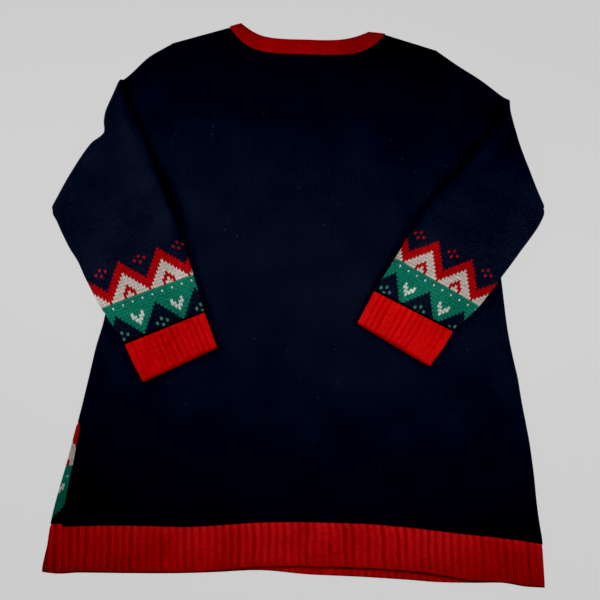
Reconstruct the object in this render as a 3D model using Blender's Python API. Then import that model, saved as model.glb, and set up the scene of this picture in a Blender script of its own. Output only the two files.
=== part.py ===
"""A knitted Christmas sweater dress, laid flat on its front.

The dress lies face down: the front panel is underneath, the back panel lies on
it, and both sleeves are folded over onto the back.  +Z is up, +Y runs from the
hem to the neck, and +X is the side on the right as seen from above.

The body is one flattened tube, cut into a front and a back panel, with a ribbed
hem band below each.  Its left side (-X) is rolled over towards the hem, so that
a strip of the front panel shows beside the back panel.  Each sleeve is a
flattened tube that leaves its armhole, folds over along a line at the elbow and
ends in a ribbed cuff on top of the back.  A doubled neckband runs round the
neck, its back half on the upper layer and its front half on the lower one.

Every piece is a closed wall of cloth made by cloth_wall() from two grids of
points, its outer side and its inner side.
"""
import math

import bmesh
import bpy
from mathutils import Vector

MM = 0.001

# Cloth, in metres
JERSEY = 2.2 * MM          # wall of the navy jersey
RIB = 2.5 * MM             # wall of the red rib
BAND = 2.5 * MM            # the neckband, doubled over and pressed
LAYER_GAP = 0.6 * MM       # air between the two layers of a flattened tube
SEAM_GAP = 0.3 * MM        # between two pieces at their seam
SIDE_GAP = 0.7 * MM        # the same along a side seam, where the cloth bends
LIE_GAP = 0.4 * MM         # under what lies on top of another piece
FOLD_GAP = 1.2 * MM        # left open inside the fold of a sleeve

# The middle of the whole garment, in the tables' millimetres; it becomes the origin
MIDDLE_X = -5.2
MIDDLE_Y = 30.7

# Body sides: y of the row, x of the left and the right outline, and how far the
# left side seam has rolled from the side edge onto the back
BODY_SIDES = (
    # y,     left,   right,  rolled
    (-366.0, -308.0, 310.8, 25.0),
    (-312.0, -303.3, 309.7, 16.5),
    (-288.0, -300.4, 307.0, 13.3),
    (-262.0, -296.0, 304.7, 10.8),
    (-230.0, -290.0, 303.0, 8.5),
    (-204.0, -285.8, 300.8, 6.8),
    (-193.0, -284.2, 299.8, 6.2),
    (-181.0, -282.2, 298.4, 4.4),
    (-171.0, -280.2, 296.9, 0.0),
    (-129.0, -274.0, 290.8, 0.0),
    (-100.0, -270.0, 287.3, 0.0),
    (-76.0, -266.8, 282.8, 0.0),
    (-40.0, -259.8, 277.3, 0.0),
    (-20.0, -257.5, 275.2, 0.0),
    (40.0, -249.0, 270.5, 0.0),
    (110.0, -240.0, 263.0, 0.0),
    (178.0, -233.0, 252.0, 0.0),
)

# Hem: y of the seam above the band and of the band's lower edge, back and front
HEM_LINE = (
    # x,     back seam, back edge, front seam, front edge
    (-307.0, -307.0, -364.0, -306.5, -365.0),
    (-288.0, -310.0, -365.0, -306.5, -366.5),
    (-262.0, -308.5, -363.0, -307.0, -364.5),
    (-200.0, -306.5, -362.0, -308.0, -363.5),
    (-143.0, -306.5, -360.5, -308.5, -362.0),
    (-98.0, -303.5, -358.0, -309.0, -359.5),
    (-38.0, -298.0, -351.5, -309.0, -355.5),
    (22.0, -296.0, -349.5, -309.0, -359.0),
    (80.0, -296.0, -349.5, -310.0, -360.0),
    (140.0, -299.0, -351.5, -310.5, -362.0),
    (185.0, -303.0, -356.0, -311.0, -364.0),
    (224.0, -306.5, -361.0, -312.0, -363.5),
    (255.0, -309.0, -361.5, -312.5, -362.5),
    (290.0, -312.5, -365.0, -313.5, -366.5),
    (308.0, -315.0, -366.0, -315.0, -367.0),
)

# Armholes and shoulders
ARMPIT_Y = 190.0
ARMPIT_X = {"left": -231.0, "right": 250.0}
SHOULDER_Y = 390.0
SHOULDER_X = {"left": -197.0, "right": 189.5}
ARMHOLE_END = 0.0135       # share of an armhole taken up by the bend at each end

# Neck: each edge hangs from a sloping line between its two ends, as middle x,
# half width, y of the line there, its slope, the drop, and two powers: how wide
# the low middle is and how the ends fall
BACK_SEAM = (0.0, 114.0, 417.3, -0.0220, 39.1, 4.8, 0.9)      # the neckband is sewn on
BACK_FREE = (-4.6, 91.8, 421.7, -0.0500, 18.8, 4.3, 0.80)      # the neckband's free edge
FRONT_SEAM = (0.0, 114.0, 417.3, -0.0220, 90.0, 2.2, 2.2)
FRONT_FREE = (-4.6, 91.8, 421.7, -0.0500, 73.0, 2.0, 2.0)
NECK_STEPS = (0.0, 12.0, 26.0, 43.0, 65.0, 90.0, 115.0, 137.0, 154.0, 168.0, 180.0)

# Columns of points round the edges of the body's panels
EDGE_STEPS = 3             # round a quarter of a side edge
BEND_STEPS = 4             # round the left edge, on the panel that rolls over it
STRIP_STEPS = 3            # across its strip on top
HEM_REACH = 0.15           # share of a panel's length over which its rows follow the hem
SEAM_FOOT_X = -286.0       # where the rolled left seam meets the hem
ROUNDS = 4                 # to settle a point's y, which depends on its own x

# Fractions of a sleeve's width at which its sections have a point
ACROSS = (0.0, 0.12, 0.24, 0.32, 0.40, 0.5, 0.65, 0.82, 1.0)

# Sleeves, a row for each section across the flattened tube.  The inner edge is
# the top of the arm, and the outer edge is the underarm.  cap is how much of the
# armhole's curve the section keeps.
SLEEVE_BASE = {
    "left": (
        # inner x, y,    outer x, y,     cap
        (-229.3, 365.8, -262.0, 170.0, 0.55),
        (-248.5, 342.0, -300.0, 149.0, 0.15),
    ),
    "right": (
        (218.0, 367.5, 275.0, 179.0, 0.60),
        (252.0, 343.5, 303.0, 165.0, 0.15),
    ),
}

# The fold line at the elbow, and how far the fold's outline dips in from it at
# each fraction of ACROSS
SLEEVE_FOLD = {
    # inner x, y,    outer x, y
    "left": (-266.0, 328.5, -345.0, 121.0),
    "right": (292.5, 315.0, 335.0, 144.0),
}
FOLD_DIPS = {
    "left": (0.0, 1.2, 2.6, 7.3, 15.8, 6.4, 2.1, 0.2, 0.0),
    "right": (1.0, 5.6, 6.8, 7.2, 7.6, 7.2, 5.7, 4.1, 0.5),
}
FOLD_TURNS = (0.0, 36.0, 72.0, 108.0, 144.0, 180.0)
SETTLE_SECTIONS = 3        # over which the fold's extra height dies away

# The part folded over.  From `hangs` along the section (0 inner edge, 1 outer
# edge) it lies on nothing and drops by `sag` at the outer edge; notch is the
# share of the fold's notch that is left.
SLEEVE_OVER = {
    "left": (
        # inner x, y,    outer x, y,    hangs, sag, notch
        (-257.0, 302.0, -340.5, 113.0, 0.88, 0.3, 0.55),
        (-243.5, 273.0, -335.5, 103.0, 0.79, 1.0, 0.20),
        (-223.0, 226.0, -325.5, 83.5, 0.43, 3.0, 0.0),
        (-202.5, 175.5, -314.0, 63.5, 0.36, 4.4, 0.0),
        (-181.5, 126.0, -301.0, 44.5, 0.55, 4.4, 0.0),
        (-161.5, 78.0, -290.0, 23.0, 0.74, 3.4, 0.0),
        (-144.0, 29.0, -264.0, -21.0, 0.96, 0.2, 0.0),
        (-126.3, -22.7, -229.3, -69.8, 1.0, 0.0, 0.0),
    ),
    "right": (
        (280.0, 292.0, 332.0, 134.5, 0.90, 0.2, 0.55),
        (265.0, 266.0, 326.5, 119.5, 0.73, 1.0, 0.20),
        (240.5, 224.0, 314.0, 99.8, 0.42, 2.4, 0.0),
        (209.5, 186.5, 299.5, 79.5, 0.74, 2.2, 0.0),
        (179.0, 147.0, 285.2, 58.8, 0.95, 0.3, 0.0),
        (152.0, 106.0, 270.0, 37.8, 1.0, 0.0, 0.0),
        (126.5, 60.0, 239.0, -4.5, 1.0, 0.0, 0.0),
        (99.8, 14.0, 204.4, -39.6, 1.0, 0.0, 0.0),
    ),
}

# Cuffs: the ends of the band at the sleeve and at the open end
CUFFS = {
    "left": (
        # inner x, y,    outer x, y
        (-125.5, -25.5, -227.5, -73.0),
        (-116.0, -49.5, -214.5, -98.0),
        (-106.5, -73.0, -200.5, -122.5),
    ),
    "right": (
        (98.5, 11.5, 202.5, -42.5),
        (87.5, -11.5, 188.0, -67.0),
        (76.5, -34.0, 171.0, -90.5),
    ),
}

NAVY = (0.006, 0.009, 0.026, 1.0)
RED = (0.36, 0.004, 0.006, 1.0)


# ---------------------------------------------------------------- small tools

def mix(a, b, t):
    return a + (b - a) * t


def look_up(table, key, column):
    """Value of a column at `key`, straight between the table's rows."""
    rows = sorted(table)
    for low, high in zip(rows, rows[1:]):
        if key <= high[0]:
            break
    t = (key - low[0]) / (high[0] - low[0])
    return mix(low[column], high[column], min(max(t, 0.0), 1.0))


def ease(t):
    t = min(max(t, 0.0), 1.0)
    return t * t * (3.0 - 2.0 * t)


def place(x, y, z):
    """A point of the tables (x and y in millimetres, z in metres) in the frame."""
    return Vector(((x - MIDDLE_X) * MM, (y - MIDDLE_Y) * MM, z))


def material(name, colour, roughness):
    made = bpy.data.materials.get(name)
    if made is None:
        made = bpy.data.materials.new(name)
        made.use_nodes = True
        shader = made.node_tree.nodes["Principled BSDF"]
        shader.inputs["Base Color"].default_value = colour
        shader.inputs["Roughness"].default_value = roughness
        shader.inputs["Metallic"].default_value = 0.0
        made.diffuse_color = colour
    return made


def navy_wool():
    return material("navy_wool", NAVY, 0.9)


def red_wool():
    return material("red_wool", RED, 0.85)


def cloth_wall(name, outer, inner, cloth, tube=False):
    """A closed wall between two grids of points, grid[row][column].

    A tube's columns run all round, and its rims join the two sides at the first
    and the last row.  A patch has a rim along its four sides.
    """
    rows = len(outer)
    columns = len(outer[0])
    shape = bmesh.new()
    skins = [[[shape.verts.new(point) for point in row] for row in grid] for grid in (outer, inner)]
    steps = range(columns if tube else columns - 1)
    for row in range(rows - 1):
        for column in steps:
            after = (column + 1) % columns
            for skin, flip in ((skins[0], False), (skins[1], True)):
                corners = [skin[row][column], skin[row][after],
                           skin[row + 1][after], skin[row + 1][column]]
                shape.faces.new(corners[::-1] if flip else corners)
    for row, flip in ((0, True), (rows - 1, False)):
        for column in steps:
            after = (column + 1) % columns
            corners = [skins[0][row][column], skins[0][row][after],
                       skins[1][row][after], skins[1][row][column]]
            shape.faces.new(corners[::-1] if flip else corners)
    if not tube:
        for column, flip in ((0, False), (columns - 1, True)):
            for row in range(rows - 1):
                corners = [skins[0][row][column], skins[0][row + 1][column],
                           skins[1][row + 1][column], skins[1][row][column]]
                shape.faces.new(corners[::-1] if flip else corners)
    return finish(name, shape, cloth)


def finish(name, shape, cloth):
    bmesh.ops.triangulate(shape, faces=shape.faces)
    if shape.calc_volume(signed=True) < 0.0:
        bmesh.ops.reverse_faces(shape, faces=shape.faces)
    mesh = bpy.data.meshes.new(name)
    shape.to_mesh(mesh)
    shape.free()
    mesh.materials.append(cloth)
    piece = bpy.data.objects.new(name, mesh)
    bpy.context.collection.objects.link(piece)
    return piece


# ------------------------------------------------------------------- the body

def armhole_x(side, y):
    """The armhole's curve, from the armpit up to the shoulder."""
    below = min(max((SHOULDER_Y - y) / (SHOULDER_Y - ARMPIT_Y), 0.0), 1.0)
    return mix(SHOULDER_X[side], ARMPIT_X[side], below * below)


def side_x(side, y):
    if y >= ARMPIT_Y:
        return armhole_x(side, y)
    highest = BODY_SIDES[-1]
    column = 1 if side == "left" else 2
    if y > highest[0]:
        return mix(highest[column], ARMPIT_X[side], (y - highest[0]) / (ARMPIT_Y - highest[0]))
    return look_up(BODY_SIDES, y, column)


def rolled(y):
    return look_up(BODY_SIDES, y, 3)


def curl(y):
    """1 where the two panels close round a side edge, 0 beside an armhole."""
    return 1.0 - ease((y - BODY_SIDES[-1][0]) / (ARMPIT_Y - BODY_SIDES[-1][0]))


def round_side(around, y, wall, depth):
    """Place on the body's flattened tube near a side edge.

    `around` is the way along the middle of the wall, in millimetres, from the
    outermost line of the edge: below zero on the lower layer, above it on the
    upper one.  Returns the distance in from the outline, in millimetres, and z.
    """
    thick = 2.0 * wall + LAYER_GAP
    radius = thick / 2.0
    quarter = (radius - wall / 2.0) * math.pi / 2.0 / MM
    upper = around > 0.0
    flat_z = thick - depth if upper else depth
    if abs(around) >= quarter:
        inwards = radius / MM + abs(around) - quarter
        return inwards, flat_z
    turn = around / quarter * math.pi / 2.0
    inwards = (radius - (radius - depth) * math.cos(turn)) / MM
    z = radius + (radius - depth) * math.sin(turn)
    straight = abs(around) * radius / MM / quarter
    return mix(straight, inwards, curl(y)), mix(flat_z, z, curl(y))


def quarter_of(wall):
    return (wall + LAYER_GAP) / 2.0 * math.pi / 2.0 / MM


def stations(lower, wall, y, middle):
    """Ways round the body's tube for one row of a panel, left to right.

    `middle` holds fractions of the flat stretch between the two side edges.
    Each station is (side, around) near an edge or (None, fraction).  The lower
    layer also goes round the left edge and over it, as far as the rolled seam.
    """
    quarter = quarter_of(wall)
    seam = rolled(y)
    half_gap = SIDE_GAP / 2.0 / MM
    sign = -1.0 if lower else 1.0
    row = []
    if lower:
        last = seam - half_gap
        bend_end = min(quarter, mix(-quarter, last, 0.5))
        row += [("left", mix(last, bend_end, k / STRIP_STEPS)) for k in range(STRIP_STEPS)]
        row += [("left", mix(bend_end, -quarter, k / BEND_STEPS)) for k in range(BEND_STEPS)]
    else:
        row += [("left", seam + half_gap + quarter * k / EDGE_STEPS) for k in range(EDGE_STEPS)]
    row += [(None, fraction) for fraction in middle]
    row += [("right", sign * mix(quarter, half_gap, (k + 1) / EDGE_STEPS)) for k in range(EDGE_STEPS)]
    return row


def body_point(station, lower, wall, y, depth):
    side, where = station
    thick = 2.0 * wall + LAYER_GAP
    if side is None:
        start, end = flat_stretch(lower, wall, y)
        return mix(start, end, where), depth if lower else thick - depth
    inwards, z = round_side(where, y, wall, depth)
    if side == "left":
        return side_x("left", y) + inwards, z
    return side_x("right", y) - inwards, z


def neck_point(angle, line, out=0.0):
    """Point of a neck edge: angle 0 is its left end, pi its right end.

    `out` moves the edge outwards, away from the neck.
    """
    middle, half_width, top, slope, drop, spread, fall = line
    across = math.cos(angle)
    hung = max(1.0 - abs(across) ** spread, 0.0) ** (1.0 / fall)
    x = -(half_width + out) * across
    return middle + x, top + slope * x * (1.0 - hung) - (drop + out) * hung


def top_line(seam):
    """The top of a panel, left to right: shoulder, neck, shoulder."""
    gap = SEAM_GAP / MM
    neck = [neck_point(math.radians(step), seam, gap) for step in NECK_STEPS]
    left = (SHOULDER_X["left"], SHOULDER_Y)
    right = (SHOULDER_X["right"], SHOULDER_Y)
    line = [(mix(left[0], neck[0][0], t), mix(left[1], neck[0][1], t)) for t in (0.03, 0.5)]
    line += neck
    line += [(mix(neck[-1][0], right[0], t), mix(neck[-1][1], right[1], t)) for t in (0.5, 0.97)]
    return line


def flat_stretch(lower, wall, y):
    """Where a panel's flat stretch starts and ends in the row at y."""
    radius = wall + LAYER_GAP / 2.0
    start = side_x("left", y) + radius / MM
    if not lower:
        start += rolled(y)
    return start, side_x("right", y) - radius / MM


def columns_of(lower, neck_seam):
    """A panel's columns: the fraction of the flat stretch where each one runs."""
    fractions = []
    for x, y in top_line(neck_seam):
        start, end = flat_stretch(lower, JERSEY, y)
        fractions.append(min(max((x - start) / (end - start), 0.0), 1.0))
    return fractions


def panel(name, lower, neck_seam):
    """Front or back panel: rows from the hem seam up to the shoulders and neck."""
    seam_column = 3 if lower else 1
    tops = top_line(neck_seam)
    middle = columns_of(lower, neck_seam)
    # the shoulders' and the neck's columns start after those of the left edge
    first = STRIP_STEPS + BEND_STEPS if lower else EDGE_STEPS
    armhole = [mix(ARMHOLE_END, 1.0 - ARMHOLE_END, t) for t in ACROSS[::-1]]
    heights = [row[0] for row in BODY_SIDES[1:]] + [ARMPIT_Y]
    heights += [mix(SHOULDER_Y, ARMPIT_Y, t) for t in armhole] + [SHOULDER_Y]
    outer = []
    inner = []
    for height in heights:
        up = (height - heights[0]) / (SHOULDER_Y - heights[0])
        near_hem = max(1.0 - up / HEM_REACH, 0.0)
        row_outer = []
        row_inner = []
        for index, station in enumerate(stations(lower, JERSEY, height, middle)):
            in_middle = first <= index < first + len(tops)
            top_x, top_y = tops[index - first] if in_middle else (None, SHOULDER_Y)
            y = height
            for _ in range(ROUNDS):
                x = body_point(station, lower, JERSEY, y, 0.0)[0]
                foot = look_up(HEM_LINE, x, seam_column) + SEAM_GAP / 2.0 / MM
                y = height + (foot - heights[0]) * near_hem + (top_y - SHOULDER_Y) * up
            for points, depth in ((row_outer, 0.0), (row_inner, JERSEY)):
                x, z = body_point(station, lower, JERSEY, y, depth)
                if up == 1.0 and in_middle:
                    x = top_x
                points.append(place(x, y, z))
        outer.append(row_outer)
        inner.append(row_inner)
    return cloth_wall(name, outer, inner, navy_wool())


def hem(name, lower, neck_seam):
    """A ribbed hem band, from its lower edge up to its seam with the panel."""
    seam_column, edge_column = (3, 4) if lower else (1, 2)
    middle = columns_of(lower, neck_seam)
    outer = []
    inner = []
    for up in (0.0, 0.5, 1.0):
        row_outer = []
        row_inner = []
        rough_y = mix(look_up(HEM_LINE, SEAM_FOOT_X, edge_column),
                      look_up(HEM_LINE, SEAM_FOOT_X, seam_column), up)
        for station in stations(lower, RIB, rough_y, middle):
            y = rough_y
            for _ in range(ROUNDS):
                x = body_point(station, lower, RIB, y, 0.0)[0]
                top = look_up(HEM_LINE, x, seam_column) - SEAM_GAP / 2.0 / MM
                y = mix(look_up(HEM_LINE, x, edge_column), top, up)
            for points, depth in ((row_outer, 0.0), (row_inner, RIB)):
                x, z = body_point(station, lower, RIB, y, depth)
                points.append(place(x, y, z))
        outer.append(row_outer)
        inner.append(row_inner)
    return cloth_wall(name, outer, inner, red_wool())


# ---------------------------------------------------------------- the sleeves

def ring(wall, depth, width):
    """The flattened tube's section: (way along it in millimetres, height).

    The way runs from 0 at the inner edge to `width` at the outer edge.  The
    height is in metres from the tube's middle: first the front layer, from the
    inner edge to the outer, then back along the back layer.
    """
    radius = wall + LAYER_GAP / 2.0
    tight = radius - depth
    flat = [(mix(radius / MM, width - radius / MM, t), tight) for t in ACROSS]
    turns = (math.radians(45.0), math.radians(90.0), math.radians(135.0))
    outer_end = [(width - (radius - tight * math.sin(a)) / MM, tight * math.cos(a)) for a in turns]
    inner_end = [((radius - tight * math.sin(a)) / MM, -tight * math.cos(a)) for a in turns]
    back = [(along, -height) for along, height in flat[::-1]]
    return flat + outer_end + back + inner_end


def section(edge_in, edge_out, turn, axis_in, rest, wall, depth, shift):
    """Points of one section of a sleeve.

    edge_in and edge_out are its two ends on the outline, turn is how far the
    tube has folded over, axis_in how far inside the outline its middle lies,
    rest(t) the height of the tube's middle, and shift(t) moves a point sideways.
    """
    start = Vector(edge_in)
    line = Vector(edge_out) - start
    width = line.length
    line.normalize()
    out = Vector((line.y, -line.x))
    if out.x * start.x < 0.0:
        out.negate()
    angle = math.radians(turn)
    points = []
    for along, height in ring(wall, depth, width):
        t = along / width
        spot = start + line * along - out * axis_in
        spot += out * (height / MM * math.sin(angle))
        spot += shift(t, out)
        points.append(place(spot.x, spot.y, rest(t) - height * math.cos(angle)))
    return points


def notch_at(side, t):
    """How far the fold's outline dips in, in millimetres, at t along it."""
    return look_up(list(zip(ACROSS, FOLD_DIPS[side])), t, 1)


def sleeve_sections(side, depth):
    """Every section of a sleeve, from the armhole to the cuff seam."""
    thick = 2.0 * JERSEY + LAYER_GAP
    bend = thick / 2.0 + FOLD_GAP / 2.0
    sign = -1.0 if side == "left" else 1.0
    gap = SEAM_GAP / MM
    reach = ARMPIT_X[side] - SHOULDER_X[side]
    grid = []

    def on_floor(_t):
        return thick / 2.0

    def cap_shift(share):
        return lambda t, _out: Vector((share * reach * (t * t - t), 0.0))

    armhole = ((SHOULDER_X[side] + sign * gap, SHOULDER_Y, ARMPIT_X[side] + sign * gap, ARMPIT_Y, 1.0),)
    for ax, ay, bx, by, cap in armhole + SLEEVE_BASE[side]:
        grid.append(section((ax, ay), (bx, by), 0.0, 0.0, on_floor, JERSEY, depth, cap_shift(cap)))

    ax, ay, bx, by = SLEEVE_FOLD[side][:4]
    for turn in FOLD_TURNS:
        angle = math.radians(turn)
        inside = (thick / 2.0 + bend * (1.0 - math.sin(angle))) / MM
        middle = thick / 2.0 + bend * (1.0 - math.cos(angle))
        grid.append(section((ax, ay), (bx, by), turn, inside, lambda _t, z=middle: z, JERSEY, depth,
                            lambda t, out: -out * notch_at(side, t)))

    over_body = thick + LIE_GAP + thick / 2.0
    for number, (ax, ay, bx, by, hangs, sag, notch) in enumerate(SLEEVE_OVER[side]):
        settle = ease((number + 1) / SETTLE_SECTIONS)
        level = mix(thick + FOLD_GAP + thick / 2.0, over_body, settle)

        def lie(t, level=level, hangs=hangs, sag=sag):
            return level - sag * MM * ease((t - hangs) / (1.0 - hangs)) if hangs < 1.0 else level

        grid.append(section((ax, ay), (bx, by), 180.0, 0.0, lie, JERSEY, depth,
                            lambda t, out, share=notch: -out * notch_at(side, t) * share))
    return grid


def sleeve(side):
    return cloth_wall("sleeve_" + side, sleeve_sections(side, 0.0), sleeve_sections(side, JERSEY),
                      navy_wool(), tube=True)


def cuff(side):
    """The ribbed cuff: an open tube on top of the back panel."""
    body_thick = 2.0 * JERSEY + LAYER_GAP
    level = body_thick + LIE_GAP + RIB + LAYER_GAP / 2.0

    def sections(depth):
        return [section((ax, ay), (bx, by), 180.0, 0.0, lambda _t: level, RIB, depth,
                        lambda _t, _out: Vector((0.0, 0.0)))
                for ax, ay, bx, by in CUFFS[side]]

    return cloth_wall("cuff_" + side, sections(0.0), sections(RIB), red_wool(), tube=True)


# --------------------------------------------------------------- the neckband

def neckband():
    """A ring that runs along the back neck, turns down and returns in front."""
    low = BAND / 2.0
    high = 2.0 * JERSEY + LAYER_GAP - JERSEY + BAND / 2.0
    rise = (high - low) / 2.0
    half = math.radians(90.0)
    stops = []
    angles = [math.radians(step) for step in NECK_STEPS]
    for angle in angles:
        stops.append((angle, BACK_SEAM, BACK_FREE, half))
    for turn in (45.0, 0.0, -45.0):
        stops.append((angles[-1], BACK_SEAM, BACK_FREE, math.radians(turn)))
    for angle in angles[::-1]:
        stops.append((angle, FRONT_SEAM, FRONT_FREE, -half))
    for turn in (-45.0, 0.0, 45.0):
        stops.append((angles[0], FRONT_SEAM, FRONT_FREE, math.radians(turn)))

    sections = []
    for angle, seam_line, free_line, lean in stops:
        seam = Vector(neck_point(angle, seam_line))
        free = Vector(neck_point(angle, free_line))
        corners = []
        for t, side in ((0.0, 1.0), (0.93, 1.0), (1.0, 0.4), (1.0, -0.4), (0.93, -1.0), (0.0, -1.0)):
            spot = seam.lerp(free, t)
            reach = rise + side * BAND / 2.0
            corners.append(place(spot.x, spot.y + reach * math.cos(lean) / MM,
                                 low + rise + reach * math.sin(lean)))
        sections.append(corners)

    shape = bmesh.new()
    rings = [[shape.verts.new(point) for point in corners] for corners in sections]
    for ring_a, ring_b in zip(rings, rings[1:] + rings[:1]):
        for k in range(len(ring_a)):
            after = (k + 1) % len(ring_a)
            shape.faces.new((ring_a[k], ring_a[after], ring_b[after], ring_b[k]))
    return finish("neckband", shape, red_wool())


# --------------------------------------------------------------------- build

for old in list(bpy.data.objects):
    bpy.data.objects.remove(old)

panel("front_panel", True, FRONT_SEAM)
panel("back_panel", False, BACK_SEAM)
hem("hem_front", True, FRONT_SEAM)
hem("hem_back", False, BACK_SEAM)
neckband()
for arm in ("left", "right"):
    sleeve(arm)
    cuff(arm)
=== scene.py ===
"""Looks of the Christmas sweater dress, laid flat on its front.

Every piece of cloth is a closed thin shell on the form of its CAD solid.  The
outlines are the same short tables as the solids', in millimetres, read through
smooth curves.  What only this file adds: the ribs, the rounded edges, the soft
creases, the stitches, the jacquard bands and the lint.
"""
import functools
import math

import bpy
import numpy as np
from mathutils import Matrix, Vector


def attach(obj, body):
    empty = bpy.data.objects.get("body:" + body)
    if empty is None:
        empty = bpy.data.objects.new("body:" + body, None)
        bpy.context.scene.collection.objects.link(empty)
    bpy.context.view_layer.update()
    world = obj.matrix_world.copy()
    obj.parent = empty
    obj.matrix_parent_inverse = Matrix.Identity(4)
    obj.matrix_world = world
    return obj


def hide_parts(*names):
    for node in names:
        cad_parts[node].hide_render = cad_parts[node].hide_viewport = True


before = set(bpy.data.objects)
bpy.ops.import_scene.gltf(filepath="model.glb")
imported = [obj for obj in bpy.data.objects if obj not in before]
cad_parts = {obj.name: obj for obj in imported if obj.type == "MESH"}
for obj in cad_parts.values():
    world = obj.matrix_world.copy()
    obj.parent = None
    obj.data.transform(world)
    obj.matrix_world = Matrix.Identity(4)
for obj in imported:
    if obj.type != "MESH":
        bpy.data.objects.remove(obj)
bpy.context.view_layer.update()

MM = 0.001
PI = math.pi
FAR = 99  # far from any edge, in millimetres

# Cloth, in millimetres
JERSEY = 2.2
RIB = 2.5
BAND = 2.5
LAYER_GAP = 0.6
SEAM_GAP = -0.15  # sewn edges meet, where the solids keep a little apart
SIDE_GAP = -0.1
LIE_GAP = 0.4
FOLD_GAP = 1.2
EDGE_LOFT = 2.9  # how much higher a sleeve stands along the top of the arm
EDGE_AT = 0.085  # where that is, as a share of the sleeve's width
EDGE_REACH = 0.065  # and how wide
SLEEVE_LOFT = 3.2  # how much its middle swells
BODY_LOFT = 1.5  # how much higher the back lies than its side edges
THICK = 2 * JERSEY + LAYER_GAP  # two layers of jersey, pressed flat
FOLD_BEND = (THICK + FOLD_GAP) / 2  # radius of a sleeve's fold, to the middle of the tube
FOLD_INSIDE = THICK / 2 + FOLD_BEND  # from the fold's outline in to its axis
FOLD_CORNER = 5.5  # radius of the ends of a sleeve's fold
FOLD_FILL = 0.60  # share of the rounding that is filled out at the elbow
# how far the fold's upper end slips down it, in the lower layer and in the upper one
CORNER_SLIP = {"left": (-2.4, 2.6), "right": (-2, 4.6)}

# The middle of the whole garment in the tables' millimetres
MIDDLE = np.array((-5.2, 30.7))

BODY_SIDES = np.array((
    # y, left, right, rolled
    (-366, -308, 310.8, 25),
    (-312, -303.3, 309.7, 16.5),
    (-288, -300.4, 307, 13.3),
    (-262, -296, 304.7, 10.8),
    (-230, -290, 303, 8.5),
    (-204, -285.8, 300.8, 6.8),
    (-193, -284.2, 299.8, 6.2),
    (-181, -282.2, 298.4, 4.4),
    (-171, -280.2, 296.9, 0),
    (-129, -274, 290.8, 0),
    (-100, -270, 287.3, 0),
    (-76, -266.8, 282.8, 0),
    (-40, -259.8, 277.3, 0),
    (-20, -257.5, 275.2, 0),
    (40, -249, 270.5, 0),
    (110, -240, 263, 0),
    (178, -233, 252, 0),
))

HEM_LINE = np.array((
    # x, back seam, back edge, front seam, front edge
    (-307, -307, -364, -306.5, -365),
    (-288, -310, -365, -306.5, -366.5),
    (-262, -308.5, -363, -307, -364.5),
    (-200, -306.5, -362, -308, -363.5),
    (-143, -306.5, -360.5, -308.5, -362),
    (-98, -303.5, -358, -309, -359.5),
    (-38, -298, -351.5, -309, -355.5),
    (22, -296, -349.5, -309, -359),
    (80, -296, -349.5, -310, -360),
    (140, -299, -351.5, -310.5, -362),
    (185, -303, -356, -311, -364),
    (224, -306.5, -361, -312, -363.5),
    (255, -309, -361.5, -312.5, -362.5),
    (290, -312.5, -365, -313.5, -366.5),
    (308, -315, -366, -315, -367),
))

ARMPIT_Y = 190
ARMPIT_X = {"left": -231, "right": 250}
SHOULDER_Y = 390
SHOULDER_X = {"left": -197, "right": 189.5}
SWING = {side: ARMPIT_X[side] - SHOULDER_X[side] for side in ARMPIT_X}
OUTWARD = {"left": -1, "right": 1}

# Neck: each edge hangs from a sloping line between its two ends, as middle x,
# half width, y of the line there, its slope, the drop, and two powers: how wide
# the low middle is and how the ends fall
BACK_SEAM = (0, 114, 417.3, -0.022, 39.1, 4.8, 0.9)
BACK_FREE = (-4.6, 91.8, 421.7, -0.05, 18.8, 4.3, 0.80)
FRONT_SEAM = (0, 114, 417.3, -0.022, 90, 2.2, 2.2)
FRONT_FREE = (-4.6, 91.8, 421.7, -0.05, 73, 2, 2)

SLEEVE_BASE = {"left": (
    # inner x, y, outer x, y, cap
    (-229.3, 365.8, -262, 170, 0.55),
    (-248.5, 342, -300, 149, 0.15),
), "right": (
    (218, 367.5, 275, 179, 0.60),
    (252, 343.5, 303, 165, 0.15),
)}
SLEEVE_FOLD = {
    # inner x, y, outer x, y
    "left": (-266, 328.5, -345, 121),
    "right": (292.5, 315, 335, 144),
}
# How far the fold's outline dips in at each fraction along it
FOLD_AT = (0, 0.12, 0.24, 0.32, 0.40, 0.5, 0.65, 0.82, 1)
FOLD_DIPS = {
    "left": (-1.2, 0.9, 2.6, 7.3, 15.8, 6.4, 2.1, 0.2, 0),
    "right": (1, 5.6, 6.8, 7.2, 7.6, 7.2, 5.7, 4.1, 1.2),
}
SLEEVE_OVER = {"left": (
    # inner x, y, outer x, y, hangs, sag, notch
    (-257, 302, -340.9, 113.2, 0.88, 0.3, 0.55),
    (-243.5, 273, -335.5, 103, 0.79, 1, 0.20),
    (-223, 226, -325.5, 83.5, 0.43, 3, 0),
    (-202.5, 175.5, -314, 63.5, 0.36, 4.4, 0),
    (-181.5, 126, -301, 44.5, 0.55, 4.4, 0),
    (-161.5, 78, -290, 23, 0.74, 3.4, 0),
    (-144, 29, -264, -21, 0.96, 0.2, 0),
    (-126.3, -22.7, -229.3, -69.8, 0.99, 0, 0),
), "right": (
    (280, 292, 332.2, 134.3, 0.90, 0.2, 0.55),
    (265, 266, 326.5, 119.5, 0.73, 1, 0.20),
    (240.5, 224, 314, 99.8, 0.42, 2.4, 0),
    (209.5, 186.5, 299.5, 79.5, 0.74, 2.2, 0),
    (179, 147, 285.2, 58.8, 0.95, 0.3, 0),
    (152, 106, 270, 37.8, 0.99, 0, 0),
    (126.5, 60, 239, -4.5, 0.99, 0, 0),
    (99.8, 14, 204.4, -39.6, 0.99, 0, 0),
)}
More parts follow.
